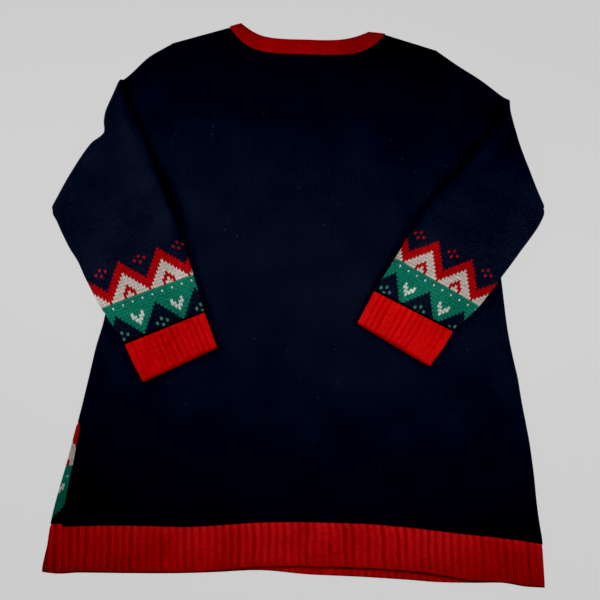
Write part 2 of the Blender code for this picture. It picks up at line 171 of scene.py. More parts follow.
CUFFS = {"left": (
    (-125.5, -25.5, -227.5, -73),
    (-116, -49.5, -214.5, -98),
    (-106.5, -73, -200.5, -122.5),
), "right": (
    (98.5, 11.5, 202.5, -42.5),
    (87.5, -11.5, 188, -67),
    (76.5, -34, 171, -90.5),
)}

# Creases: a soft ridge (height above 0) or trough from one end to the
# other, its half width, and how far its middle bows sideways, in millimetres
BACK_CREASES = (
    # x0, y0, x1, y1, width, height, bow
    (206, -60, 292, -190, 26, 1.5, 10),
    (150, -120, 262, -250, 22, -0.8, -8),
    (-96, -60, -60, -230, 34, 1.1, 12),
    (-150, 130, -118, -10, 24, 1, -10),
    (-196, 172, -160, 92, 10, -1.6, 3),
    (-158, 160, -124, 84, 17, 3.2, 4),
    (-30, 60, 10, -240, 44, 0.9, 16),
    (70, 20, 92, -200, 30, 0.8, -12),
    (40, 330, 52, 120, 40, -0.7, 8),
    (-70, 320, -96, 170, 34, 0.7, -6),
    (150, 370, 128, 250, 24, 0.8, 8),
    (-250, -170, -230, -300, 22, 0.9, -6),
    (-190, -190, -176, -360, 30, 0.8, 6),
    (250, -240, 262, -360, 24, 0.8, -5),
    (120, -230, 108, -360, 30, -0.7, 5),
    (-60, -250, -66, -362, 26, 0.6, 4),
)
SLEEVE_CREASES = {"left": (
    (-284, 238, -226, 214, 12, -2, 5),
    (-290, 262, -238, 250, 13, 1.5, 4),
    (-300, 205, -232, 176, 18, 1.6, -7),
    (-335, 130, -252, 150, 17, 1.2, 8),
    (-326, 100, -262, 112, 12, -1, 5),
    (-226, 216, -180, 96, 13, 1.2, 5),
    (-208, 176, -172, 106, 9, 4.2, 3),
    (-280, 70, -236, -6, 16, 1, 6),
    (-196, 70, -166, 0, 15, 0.8, -4),
    (-262, 300, -250, 262, 9, 1.2, -3),
), "right": (
    (287, 286, 246, 224, 6, 2, 3),
    (252, 234, 206, 182, 10, 1.7, 4),
    (304, 218, 280, 166, 8, -1.4, 3),
    (222, 173, 184, 120, 9, -1.3, 4),
    (296, 268, 236, 186, 11, -1.6, 6),
    (300, 236, 250, 158, 14, 1.3, 4),
    (322, 178, 262, 132, 13, -1, -6),
    (330, 150, 250, 84, 17, 1.3, -8),
    (222, 176, 170, 96, 14, 1, 5),
    (262, 60, 222, 4, 14, 0.9, -5),
    (160, 74, 132, 24, 12, 0.7, 4),
)}
SLEEVE_WAVES = {"left": 21, "right": 22}
UNDER_CREASES = (
    (-170, 200, -120, -40, 26, 0.9, 14),
    (60, 180, 30, -160, 34, 0.8, -16),
    (180, 60, 226, -200, 26, 0.9, 12),
    (-60, -40, -84, -300, 24, 0.7, -8),
    (-210, -80, -236, -320, 22, 0.8, 8),
    (110, -120, 124, -340, 26, 0.7, 6),
    (-20, 280, -34, 120, 26, 0.7, 8),
)

# Knitting, in millimetres
WALE = 3.35  # a stitch's width
COURSE = 3.2  # a plain row's height
STITCH_LEAN = 0.45  # rows that a stitch's legs lean by
STITCH_DEPTH = 0.0006  # metres
STITCH_WANDER = 0.22  # stitches that the yarn's fuzz shifts a stitch's edge by
SLEEVE_KNIT = {
    # row, wale, first peak from the top of the arm, that top across the wales,
    # the band's lower end along the wales, and the way that they run down
    "left": (4.5, 3.43, 31.4, -122.8, -25.4, (0.39, -0.921)),
    "right": (4.4, 3.24, 39.3, 78.3, -60.2, (-0.501, -0.865)),
}
FRONT_ROW = 3.9
FRONT_BAND_FOOT = -300  # the lower end of the front's band
FRONT_PEAK = 4  # stitches from the side seam to the first peak
FRONT_WALES = 188  # stitches across the front, nine repeats and the two ends
HEM_DEPTH = 54
HEM_MIDDLE_Y = -340
HEM_EDGE_Y = -363  # about where a hem band's free edge lies
HEM_SEAM_Y = -308  # and its seam
HEM_RIB = 9.5
CUFF_RIB = 7.3
NECK_RIB = 3.4
HEM_RIB_DEPTH = 1.4
CUFF_RIB_DEPTH = 0.85
NECK_RIB_DEPTH = 0.22
CUFF_WIDTH = 110  # of the pressed tube
CUFF_SHORT = 3.2  # how far the upper layer's edge sits back from the lower one's
LINT_COUNT = 80

# Colours, linear
NAVY = (0.0072, 0.0087, 0.0160)
# the sleeves' navy: the back's navy yarn painted lighter, for the sheen that the light gives the sleeves,
# and to make up for their deeper painted shade between stitches
SLEEVE_NAVY_PAINTED_LIGHTER = (0.0084, 0.0105, 0.0200)
# the hems' red: the cuffs' red yarn painted lighter, to make up for the dimmer light at the hem
HEM_RED_PAINTED_LIGHTER = (0.555, 0.0130, 0.0150)
CUFF_RED = (0.395, 0.0060, 0.0065)
NECK_RED = (0.385, 0.0085, 0.0090)
BAND_RED = (0.350, 0.0065, 0.0085)
MOTIF_RED = (0.27, 0.010, 0.018)
MOTIF_GREEN = (0.050, 0.185, 0.135)
CREAM = (0.50, 0.425, 0.380)
WHITE = (0.50, 0.57, 0.52)
GREEN = (0.0105, 0.155, 0.099)
LINT = (0.16, 0.16, 0.17)
BLUE_SHEEN = (0.2, 0.4, 1)
RED_SHEEN = (1, 0.1, 0.1)
FLOOR = (0.03, 0.03, 0.03)
FLOOR_GLOW = 0.6
FLOOR_HALF = 4
FLOOR_Z = -0.0003  # metres; just clear of the cloth
WHITE_LIGHT = (1, 1, 1, 1)
BLACK_POINT = 0.0055  # what the picture shows as black


# ---- small tools

def mix(a, b, t):
    return a + (b - a) * t


def ease(t):
    t = np.clip(t, 0, 1)
    return t * t * (3 - 2 * t)


def smooth(table, key, column):
    """Value of a column at `key`, on a curve through the table's rows.

    The curve is a monotone cubic, so it never runs past its rows.
    """
    table = table[np.argsort(table[:, 0])]
    x, y = table[:, 0], table[:, column]
    step = np.diff(x)
    rise = np.diff(y) / step
    below, above = rise[:-1], rise[1:]
    with np.errstate(divide="ignore", invalid="ignore"):
        inner = np.where(below * above > 0, 2 * below * above / (below + above), 0)
    slope = np.concatenate((rise[:1], inner, rise[-1:]))
    key = np.clip(np.asarray(key, float), x[0], x[-1])
    k = np.clip(np.searchsorted(x, key) - 1, 0, len(x) - 2)
    t = (key - x[k]) / step[k]
    return ((1 + 2 * t) * (1 - t) ** 2 * y[k] + t * (1 - t) ** 2 * step[k] * slope[k]
            + t * t * (3 - 2 * t) * y[k + 1] + t * t * (t - 1) * step[k] * slope[k + 1])


def crease_field(x, y, creases):
    """Height in millimetres that a table of creases adds at x, y."""
    total = np.zeros(np.broadcast(x, y).shape)
    for x0, y0, x1, y1, width, height, bow in creases:
        length = math.hypot(x1 - x0, y1 - y0)
        ux, uy = (x1 - x0) / length, (y1 - y0) / length
        along = ((x - x0) * ux + (y - y0) * uy) / length
        aside = (y - y0) * ux - (x - x0) * uy
        inside = np.clip(along, 0, 1)
        aside = aside - bow * 4 * inside * (1 - inside)
        past = (along - inside) * length
        fade = ease(along / 0.3 + 0.5) * ease((1 - along) / 0.3 + 0.5)
        total += height * fade * np.exp(-(aside ** 2 + past ** 2) / width ** 2)
    return total


def ripple(x, y, seed, size, count=7):
    """Soft uneven noise of about -1 to 1, from a few long waves."""
    random = np.random.default_rng(seed)
    total = np.zeros(np.broadcast(x, y).shape)
    for _ in range(count):
        angle, phase = random.uniform(0, 2 * PI, 2)
        wave = random.uniform(0.6, 1.7) * size
        total += np.sin((x * math.cos(angle) + y * math.sin(angle)) * 2 * PI / wave + phase)
    return total / math.sqrt(count)


def to_frame(x, y, z):
    """Points of the tables, all in millimetres, as metres in the frame."""
    x, y, z = np.broadcast_arrays(x, y, z)
    return np.stack(((x - MIDDLE[0]) * MM, (y - MIDDLE[1]) * MM, z * MM), axis=-1)


def graded(length, step, edge=(0, 0.12, 0.4, 0.8, 1.25)):
    """Distances along a length, even but for a few close ones at either end."""
    ends = np.array(edge)
    count = max(2, int(round((length - 2 * edge[-1]) / step)))
    middle = np.linspace(edge[-1], length - edge[-1], count + 1)[1:-1]
    return np.concatenate((ends, middle, length - ends[::-1]))


def running(steps):
    """Way from a line's first point to each point, by the steps between them."""
    return np.concatenate(((0,), np.cumsum(steps)))


def lengths(points):
    """Lengths of the steps along the first axis of an array of points."""
    return np.linalg.norm(np.diff(points, axis=0), axis=-1)


def rounding(distance, radius):
    """How far back a round edge lies, as a share of its radius, at a way in from its tip."""
    left = np.clip(1 - distance / radius, 0, 1)
    return 1 - np.sqrt(1 - left ** 2)


def edge_depth(distance, wall):
    """How far the cloth's side has rounded in, at a distance from its edge."""
    return wall / 2 * rounding(distance, wall / 2)


# ---- meshes

def corners_of(grid):
    """The four corners of every cell of a grid."""
    return np.stack((grid[:-1, :-1], grid[:-1, 1:], grid[1:, 1:], grid[1:, :-1]), axis=2)


def shell(name, outer, inner, stitch, cloth):
    """A closed shell from two grids of points that meet along their rims.

    outer, inner: arrays [row, column, xyz].  stitch: [row, column, uv], with one
    column more than the points for a tube, whose first column is also its last.
    """
    rows, columns = outer.shape[:2]
    wrap = np.arange(stitch.shape[1]) % columns
    tube = len(wrap) > columns
    points = np.concatenate((outer.reshape(-1, 3), inner.reshape(-1, 3)))
    first = np.arange(rows * columns).reshape(rows, columns)
    second = first.copy()
    second[1:-1, slice(None) if tube else slice(1, -1)] += rows * columns

    def both_sides(front, back, width):
        front = corners_of(front).reshape(-1, 4, width)
        back = corners_of(back)[:, :, ::-1].reshape(-1, 4, width)
        return np.concatenate((front, back))

    faces = both_sides(first[:, wrap, None], second[:, wrap, None], 1)[..., 0]
    used, packed = np.unique(faces, return_inverse=True)
    faces = packed.reshape(faces.shape)
    points = points[used]
    inside_out = volume(points, faces) < 0
    if inside_out:
        faces = faces[:, ::-1]

    whole = outer[:, wrap]
    across = lengths(whole.swapaxes(0, 1)).mean(axis=1)
    up = lengths(whole).mean(axis=1)
    v, u = np.meshgrid(running(up) / up.sum(), running(across) / across.sum(), indexing="ij")
    shown = np.stack((0.005 + 0.765 * u, 0.005 + 0.99 * v), axis=-1)
    hidden = np.stack((0.78 + 0.215 * u, 0.005 + 0.99 * v), axis=-1)
    maps = {"OFBake": both_sides(shown, hidden, 2), "Stitch": both_sides(stitch, stitch, 2)}
    if inside_out:
        maps = {title: flat[:, ::-1] for title, flat in maps.items()}
    return solid(name, points, faces, maps, cloth)


def add_object(name, data):
    made = bpy.data.objects.new(name, data)
    bpy.context.collection.objects.link(made)
    return made


def solid(name, points, faces, maps, cloth):
    """An object of one material: smooth where it has maps, and flat where it has none."""
    mesh = bpy.data.meshes.new(name)
    mesh.from_pydata(points.tolist(), [], faces.tolist())
    mesh.update()
    for title, flat in maps.items():
        layer = mesh.uv_layers.new(name=title)
        layer.data.foreach_set("uv", flat.astype(np.float32).ravel())
        mesh.shade_smooth()
    mesh.materials.append(cloth)
    return add_object(name, mesh)


def volume(points, quads):
    a, b, c, d = (points[quads[:, k]] for k in range(4))
    return float((np.einsum("ij,ij->i", a, np.cross(b, c)) + np.einsum("ij,ij->i", a, np.cross(c, d))).sum())


# ---- the body

def side_x(side, y):
    """x of the body's outline at y: the side, then the armhole."""
    y = np.asarray(y, float)
    column = 1 if side == "left" else 2
    top_y, top_x = BODY_SIDES[-1][0], BODY_SIDES[-1][column]
    below = smooth(BODY_SIDES, y, column)
    between = mix(top_x, ARMPIT_X[side], (y - top_y) / (ARMPIT_Y - top_y))
    down = np.clip((SHOULDER_Y - y) / (SHOULDER_Y - ARMPIT_Y), 0, 1)
    armhole = mix(SHOULDER_X[side], ARMPIT_X[side], down ** 2)
    return np.where(y < top_y, below, np.where(y < ARMPIT_Y, between, armhole))


def rolled(y):
    """How far the front's left side is rolled round onto the back."""
    return smooth(BODY_SIDES, y, 3)


def curl(y):
    """How round the body's sides are: 1 down to the hem, and 0 at the armpit."""
    top_y = BODY_SIDES[-1][0]
    return 1 - ease((y - top_y) / (ARMPIT_Y - top_y))


def round_side(around, y, wall, depth):
    """Distance in from the outline, and z, of a point near a side edge."""
    thick = 2 * wall + LAYER_GAP
    radius = thick / 2
    quarter = quarter_of(wall)
    flat_z = np.where(around > 0, thick - depth, depth)
    turn = np.clip(around / quarter, -1, 1) * PI / 2
    bent_in = radius - (radius - depth) * np.cos(turn)
    bent_z = radius + (radius - depth) * np.sin(turn)
    straight = np.abs(around) * radius / quarter
    near_in = mix(straight, bent_in, curl(y))
    near_z = mix(flat_z, bent_z, curl(y))
    far = np.abs(around) >= quarter
    return np.where(far, radius + np.abs(around) - quarter, near_in), np.where(far, flat_z, near_z)


def quarter_of(wall):
    return (wall + LAYER_GAP) / 2 * PI / 2


def body_width(y, wall, lower):
    """Way across one panel in the row at y, from its left seam to its right one."""
    quarter = quarter_of(wall)
    radius = wall + LAYER_GAP / 2
    straight = side_x("right", y) - side_x("left", y) - 2 * radius
    left = quarter + rolled(y) if lower else quarter - rolled(y)
    return straight + left + quarter - SIDE_GAP


def body_place(way, y, wall, depth, lower):
    """x and z of a point at `way` from a panel's left seam, in the row at y."""
    sign = -1 if lower else 1
    half_gap = SIDE_GAP / 2
    from_left = rolled(y) + sign * (half_gap + way)
    left_in, left_z = round_side(from_left, y, wall, depth)
    from_right = sign * (body_width(y, wall, lower) - way + half_gap)
    right_in, right_z = round_side(from_right, y, wall, depth)
    nearer_left = way < body_width(y, wall, lower) / 2
    x = np.where(nearer_left, side_x("left", y) + left_in, side_x("right", y) - right_in)
    return x, np.where(nearer_left, left_z, right_z)


def neck_point(angle, line, out=0):
    """Points of a neck edge: angle 0 is its left end, pi its right end."""
    middle, half_width, top, slope, drop, spread, fall = line
    across = np.cos(angle)
    hung = np.clip(1 - np.abs(across) ** spread, 0, 1) ** (1 / fall)
    x = -(half_width + out) * across
    return middle + x, top + slope * x * (1 - hung) - (drop + out) * hung


def inside_sides(x, y, reach, start):
    """0 beside the body's outline, rising to 1 a little more than `reach` in from it."""
    return ease((x - side_x("left", y)) / reach - start) * ease((side_x("right", y) - x) / reach - start)


def body_relief(x, y):
    """Height that the back's soft folds add to the upper layer."""
    top = ease((SHOULDER_Y - 6 - y) / 40 + 0.05 * np.abs(x) / 100)
    height = crease_field(x, y, BACK_CREASES) + 0.28 * ripple(x, y, 11, 150)
    from_side = np.minimum(x - side_x("left", y), side_x("right", y) - x)
    loft = BODY_LOFT * (1 - np.exp(-np.maximum(from_side, 0) / 22)) * top
    return loft + height * inside_sides(x, y, 26, 0.1) * mix(0.15, 1, top)


def under_relief(x, y):
    """How far the front's shallow folds lift its underside off the floor."""
    return np.clip(crease_field(x, y, UNDER_CREASES), 0, 1) * inside_sides(x, y, 30, 0.2)


def top_points(seam):
    """The top of a panel, from the left shoulder's end to the right one's."""
    neck = np.array(neck_point(np.linspace(0, PI, 57), seam, SEAM_GAP))
    left, right = (np.array(((SHOULDER_X[side],), (SHOULDER_Y,))) for side in ("left", "right"))
    inward = np.linspace(0.06, 1, 14)[:-1]
    return np.hstack((mix(left, neck[:, :1], inward), neck, mix(right, neck[:, -1:], inward[::-1])))


# Ways in from a panel's seams to its first columns.  On the left the front's (True)
# go round its rolled side.
LEFT_WAYS = {
    True: np.concatenate(((0, 0.12, 0.4, 0.8), np.linspace(1.25, 26, 26))),
    False: np.array((0, 0.12, 0.4, 0.8, 1.3, 1.9, 2.6)),
}
RIGHT_WAYS = np.array((4, 2.6, 1.9, 1.3, 0.8, 0.4, 0.12, 0))


def panel_columns(lower, neck_seam):
    """A panel's columns: how far across the free middle, ways before it, and tops."""
    x, y = top_points(neck_seam)
    left = LEFT_WAYS[lower]
    sign = -1 if lower else 1
    past_bend = x - side_x("left", y) - THICK / 2
    way = quarter_of(JERSEY) - sign * rolled(y) - SIDE_GAP / 2 + past_bend
    share = (way - left[-1]) / (body_width(y, JERSEY, lower) - left[-1] - RIGHT_WAYS[0])
    keep = (share > 0.004) & (share < 0.996)
    slope = (neck_seam[2] - SHOULDER_Y) / (neck_seam[1] + SHOULDER_X["left"])
    shares = np.concatenate((0 * left, share[keep], 0 * RIGHT_WAYS + 1))
    before = np.concatenate((left, 0 * share[keep] + left[-1], left[-1] + RIGHT_WAYS[0] - RIGHT_WAYS))
    tops = np.concatenate((SHOULDER_Y - slope * left, y[keep], SHOULDER_Y - slope * RIGHT_WAYS))
    return shares, before, tops


def panel(name, lower, neck_seam, cloth):
    """The front (lower) or the back, in rows from its hem's seam up to its top."""
    seam_column = 3 if lower else 1
    shares, before, tops = panel_columns(lower, neck_seam)
    length = SHOULDER_Y - HEM_LINE[0][seam_column]
    up = (graded(length, 5) / length)[:, None]

    # a first guess of y, put right in the loop, because a row's width depends on it
    y = mix(HEM_SEAM_Y, SHOULDER_Y, up)
    for _ in range(5):
        width = body_width(y, JERSEY, lower)
        way = before + shares * (width - LEFT_WAYS[lower][-1] - RIGHT_WAYS[0])
        x = body_place(way, y, JERSEY, 0, lower)[0]
        foot = smooth(HEM_LINE, x[0], seam_column) + SEAM_GAP / 2
        y = mix(foot, tops, up)

    from_edge = np.minimum(np.minimum(way, width - way), np.minimum(up, 1 - up) * length)
    in_by = edge_depth(from_edge, JERSEY)
    if lower:
        pattern = way / width * FRONT_WALES - FRONT_PEAK + 0.5
        rows = (y - FRONT_BAND_FOOT) / FRONT_ROW
    else:
        pattern = x / WALE
        rows = y / COURSE
    outer, inner = (body_layer(way, y, JERSEY, depth, lower) for depth in (in_by, JERSEY - in_by))
    return shell(name, outer, inner, np.stack((pattern, rows), axis=-1), cloth)


def body_layer(way, y, wall, depth, lower):
    """Points at a depth in a panel, with the top layer's folds or the underside's shallow ones."""
    x, z = body_place(way, y, wall, depth, lower)
    if not lower:
        return to_frame(x, y, z + body_relief(x, y))
    upper = ease((rolled(y) - SIDE_GAP / 2 - way) / 4)
    under = under_relief(x, y) * (1 - depth / JERSEY)
    return to_frame(x, y, z + mix(under, body_relief(x, y), upper))


# ---- ribs

RIB_PHASES = (0, 0.07, 0.15, 0.24, 0.36, 0.5, 0.64, 0.76, 0.85, 0.93)


def rib_columns(count):
    return (np.arange(count)[:, None] + np.array(RIB_PHASES)).ravel() / count


def rib_depth(position, count, depth, seed):
    """How deep below a rib's crest the side lies; no two grooves are quite alike."""
    groove = np.floor(position * count + 0.5).astype(int)
    uneven = np.random.default_rng(seed).uniform(0.65, 1.25, count + 2)[groove]
    return depth * uneven * (0.5 + 0.5 * np.cos(2 * PI * position * count)) ** 1.2


def wander(way, up, seed, reach):
    """How far a rib leans and waves sideways, in millimetres."""
    lean = 0.9 * ripple(way, up * 0, seed, 90)
    wave = 0.55 * ripple(way * 0.6, up * 55, seed + 1, 60)
    bump = 0.25 * ripple(way, up * 0, seed + 2, 35)
    return reach * (lean * (up - 0.5) + wave * np.sin(PI * up) + bump)


def rib_stitches(place, count, up, length):
    """Stitch map of a rib: two stitches to each rib across, and plain rows up."""
    return np.stack(np.broadcast_arrays(place * count * 2, up * length / COURSE), axis=-1)


def hem(name, lower, cloth, seed):
    """A hem band, in rows from its free edge up to its seam, with ribs by columns."""
    seam_column, edge_column = (3, 4) if lower else (1, 2)
    count = int(round(body_width(HEM_MIDDLE_Y, RIB, lower) / HEM_RIB))
    place = np.concatenate((rib_columns(count), (1,)))
    up = (graded(HEM_DEPTH, 3.6) / HEM_DEPTH)[:, None]
    # a first guess of y, put right in the loop, because a row's ends depend on it
    y = mix(HEM_EDGE_Y, HEM_SEAM_Y, up)
    calm = np.minimum(1, np.minimum(place, 1 - place) * 18)
    for _ in range(4):
        width = body_width(y, RIB, lower)
        way = width * place + calm * wander(place * 600, up, seed, 1.5)
        x = body_place(way, y, RIB, 0, lower)[0]
        y = mix(smooth(HEM_LINE, x, edge_column), smooth(HEM_LINE, x, seam_column) - SEAM_GAP / 2, up)
    from_edge = np.minimum(np.minimum(up, 1 - up) * HEM_DEPTH, np.minimum(way, width - way))
    in_by = edge_depth(from_edge, RIB)
    beside_seam = np.minimum(1, (1 - place) * count)
    groove = rib_depth(place, count, HEM_RIB_DEPTH, seed) * beside_seam
    at_seam = 0.7 * (1 - ease((1 - up) * HEM_DEPTH / 4.5))
    at_edge = 1.7 * rounding(up * HEM_DEPTH, 3.6)
    groove = np.minimum(groove + at_seam + at_edge, RIB - 0.5)
    outside = np.maximum(in_by, mix(RIB / 2, groove, ease(from_edge / 2)))

    outer, inner = (body_layer(way, y, RIB, depth, lower) for depth in (outside, RIB - in_by))
    return shell(name, outer, inner, rib_stitches(place, count, up, HEM_DEPTH), cloth)


# ---- the sleeves

def flattened(width, radius, depth, share):
    """A flattened tube's section: place along it and height over its middle.

    `share` runs 0 to 4: front layer from the inner edge to the outer one, the
    outer bend, the back layer, and the inner bend.
    """
    part, t = np.divmod(share % 4, 1)
    part = part.astype(int)
    tight = radius - depth
    bulge = tight * np.sin(t * PI)
    bent = np.cos(t * PI)
    level = np.ones_like(t)
    far = width - radius
    along = np.choose(part, (mix(radius, far, t), far + bulge, mix(far, radius, t), radius - bulge))
    return along, tight * np.choose(part, (level, bent, -level, -bent))


def edges_of(rows):
    """Inner edges of a tube's sections, unit ways across from there, and widths."""
    span = rows[:, 2:4] - rows[:, 0:2]
    width = np.linalg.norm(span, axis=1)[:, None]
    return rows[:, 0:2], span / width, width


def sleeve_shares():
    """Places round a sleeve, from its underarm seam all round and back to it."""
    across = np.linspace(0, 1, 47)[:-1]
    bend = np.linspace(0, 1, 9)[:-1]
    seam = np.linspace(0, 0.5, 5)
    return np.concatenate((1.5 + seam[:-1], 2 + across, 3 + bend, 4 + across, 5 + seam))


def dense(rows, step):
    """Rows of a table, with more between them on smooth curves."""
    rows = np.array(rows, float)
    mid = (rows[:, 0:2] + rows[:, 2:4]) / 2
    way = running(lengths(mid))
    keyed = np.concatenate((way[:, None], rows), axis=1)
    fine = graded(way[-1], step)
    return np.stack([smooth(keyed, fine, k) for k in range(1, keyed.shape[1])], axis=1), fine, way[-1]


def fold_line(side):
    """A sleeve's fold: its upper end, the way down it, and the way out from the sleeve."""
    start, end = np.array(SLEEVE_FOLD[side]).reshape(2, 2)
    line = (end - start) / np.linalg.norm(end - start)
    out = np.array((line[1], -line[0]))
    return start, line, out * np.sign(out[0] * start[0])


def sleeve_rows(side):
    """Every section of a sleeve, from the armhole to the cuff, and its ways from there.

    A section's columns are its edges, then turn, axis_in, level, hangs, sag, notch
    and cap, as sleeve() names them.
    """
    fold = SLEEVE_FOLD[side]
    axis = np.array(fold) - np.tile(fold_line(side)[2], 2) * FOLD_INSIDE
    middle = THICK / 2
    out = OUTWARD[side] * SEAM_GAP
    armhole = (SHOULDER_X[side] + out, SHOULDER_Y, ARMPIT_X[side] + out, ARMPIT_Y, 1)
    base = [(*row[:4], 0, 0, middle, 0.99, 0, notch, row[4])
            for row, notch in zip((armhole, *SLEEVE_BASE[side], (*axis, 0)), (0, 0, 0.3, 1))]
    base_rows, base_way, base_length = dense(base, 5)
    turns = np.linspace(0, PI, 15)[1:-1]
    fold_rows = [(*fold, turn, middle + FOLD_BEND * (1 - math.sin(turn)),
                  middle + FOLD_BEND * (1 - math.cos(turn)), 0.99, 0, 1, 0) for turn in turns]
    over_fold = THICK + FOLD_GAP + middle
    over_body = THICK + LIE_GAP + middle
    over = [(*axis, PI, 0, over_fold, 0.9, 0, 1, 0)]
    for number, (*edges, hangs, sag, notch) in enumerate(SLEEVE_OVER[side]):
        level = mix(over_fold, over_body, ease((number + 1) / 3))
        over.append((*edges, PI, 0, level, hangs, sag, notch, 0))
    over_rows, over_way, over_length = dense(over, 4.2)
    # only the armhole and the cuff's seam are edges of the cloth
    base_keep = base_way < base_length - 1
    over_keep = over_way > 1
    rows = np.concatenate((base_rows[base_keep], base_rows[-1:], fold_rows, over_rows[:1],
                           over_rows[over_keep]))
    folding = np.zeros(len(turns) + 2)
    from_edge = np.concatenate((base_way[base_keep], folding + FAR, over_length - over_way[over_keep]))
    past_fold = np.concatenate((base_way[base_keep] - base_length, folding, over_way[over_keep]))
    return rows, from_edge[:, None], past_fold[:, None]


def sleeve(side, cloth):
    """A sleeve: a flat tube that leaves the armhole, turns over and lies on the back."""
    radius = THICK / 2
    rows, from_edge, past_fold = sleeve_rows(side)
    edge_in, unit, width = edges_of(rows)
    turn, axis_in, level, hangs, sag, notch, cap = (rows[:, k, None] for k in range(4, 11))
    shares = sleeve_shares()
    out = np.stack((unit[:, 1], -unit[:, 0]), axis=1)
    out *= np.sign(out[:, :1] * edge_in[:, :1])
    dips = np.array((FOLD_AT, FOLD_DIPS[side])).T
    folding = (turn > 0.001) & (turn < PI - 0.001)
    beside_fold = np.exp(-np.abs(past_fold) / 10) * (1 - folding)
    slip = mix(*CORNER_SLIP[side], ease(turn / PI))
    slip = slip * np.exp(-np.abs(past_fold) / np.where(turn < 0.001, 8, 22))

    def layer(depth):
        along, height = flattened(width, radius, depth, shares[None, :-1])
        t = np.clip(along / width, 0, 1)
        inward = axis_in + notch * smooth(dips, t, 1) - height * np.sin(turn)
        rounded = rounding(np.minimum(along, width - along), FOLD_CORNER)
        # at the elbow the layers beside the fold fill out part of its rounding
        filled = FOLD_FILL * (t > 0.5)
        inward = mix(inward, (1 - filled) * FOLD_INSIDE, rounded * folding)
        inward = inward - rounded * filled * beside_fold * FOLD_INSIDE
        slipped = along + slip * (1 - t) ** 2
        x, y = (edge_in[:, k, None] + unit[:, k, None] * slipped - out[:, k, None] * inward for k in (0, 1))
        x = x + cap * SWING[side] * (t * t - t)
        lie = level - sag * ease((t - hangs) / (1 - hangs))
        lift = sleeve_lift(side, (x, y, lie), (t, height / radius), turn, (from_edge, past_fold))
        return to_frame(x, y, lie - height * np.cos(turn) + lift)

    in_by = edge_depth(from_edge, JERSEY)
    stitch = sleeve_stitches(side, rows, unit, width, shares)
    return shell("sleeve_cloth_" + side, layer(in_by), layer(JERSEY - in_by), stitch, cloth)


def sleeve_lift(side, point, section, turn, ways):
    """How far a sleeve rises at a point, with the back under it and with its own creases.

    section: place across, 0 to 1, and height in the tube, -1 to 1.  ways: from the
    cloth's nearest edge, and from the fold.
    """
    x, y, lie = point
    t, height = section
    from_edge, past_fold = ways
    inland = ease(from_edge / 12)
    opened = ease(past_fold / 45)
    arm_top = EDGE_LOFT * mix(0.15, 1, opened) * np.exp(-((t - EDGE_AT) / EDGE_REACH) ** 2)
    swell = 1 + (SLEEVE_LOFT - 1) * opened * ease(from_edge / 40)
    puff = swell * np.sin(PI * t) ** 0.7 + arm_top + crease_field(x, y, SLEEVE_CREASES[side])
    puff = puff + 0.25 * ripple(x, y, SLEEVE_WAVES[side], 60)
    upper = np.clip(height, 0, 1) * mix(0.35, 1, inland) * np.maximum(puff, -0.4)
    laid = ease((turn - 2.2) / 0.9) * (body_relief(x, y) * ease(lie - 6) + upper)
    base_top = (1 - ease(turn / 0.6)) * np.clip(-height, 0, 1)
    return laid + base_top * 0.5 * np.sin(PI * t) * inland


def sleeve_stitches(side, rows, unit, width, shares):
    """Where each point lies in the flat knitting, counted in stitches and rows.

    The sleeve is unrolled about its fold.  Wales run parallel to the top of the
    arm, and rows are counted up from the foot of the pattern band.
    """
    fold_at, line, out = fold_line(side)
    radius = THICK / 2
    turned = (shares - 3.5)[None, :]
    apart = np.abs(turned)
    quarter = radius * PI / 2
    along = np.select((apart < 0.5, apart < 1.5), (
        radius - quarter * (1 - 2 * apart), mix(radius, width - radius, apart - 0.5)),
        width - radius + quarter * (2 * apart - 3))
    turn, cap = rows[:, 4, None], rows[:, 10, None]
    t = along / width
    x = rows[:, 0, None] + unit[:, :1] * along + cap * SWING[side] * (t * t - t)
    y = rows[:, 1, None] + unit[:, 1:] * along

    axis = fold_at - out * FOLD_INSIDE
    in_by = (axis[0] - x) * out[0] + (axis[1] - y) * out[1]
    beside = (x - axis[0]) * line[0] + (y - axis[1]) * line[1]
    past = np.select((turn < 0.01, turn < PI - 0.01), (
        -FOLD_BEND * PI - in_by, -FOLD_BEND * (PI - turn)), in_by)
    x = axis[0] + line[0] * beside - out[0] * past
    y = axis[1] + line[1] * beside - out[1] * past

    row_height, wale_width, peak, arm_top, band_foot, down = SLEEVE_KNIT[side]
    aside = OUTWARD[side] * (y * down[0] - x * down[1] - arm_top)
    # the hidden layer carries on round the top of the arm
    edge = aside[:, np.argmin(apart[0]), None]
    aside = edge + np.where(turned < 0, edge - aside, aside - edge)
    wale = (aside - peak) / wale_width + 0.5
    row = (band_foot - (x * down[0] + y * down[1])) / row_height
    return np.stack((wale, row), axis=-1)


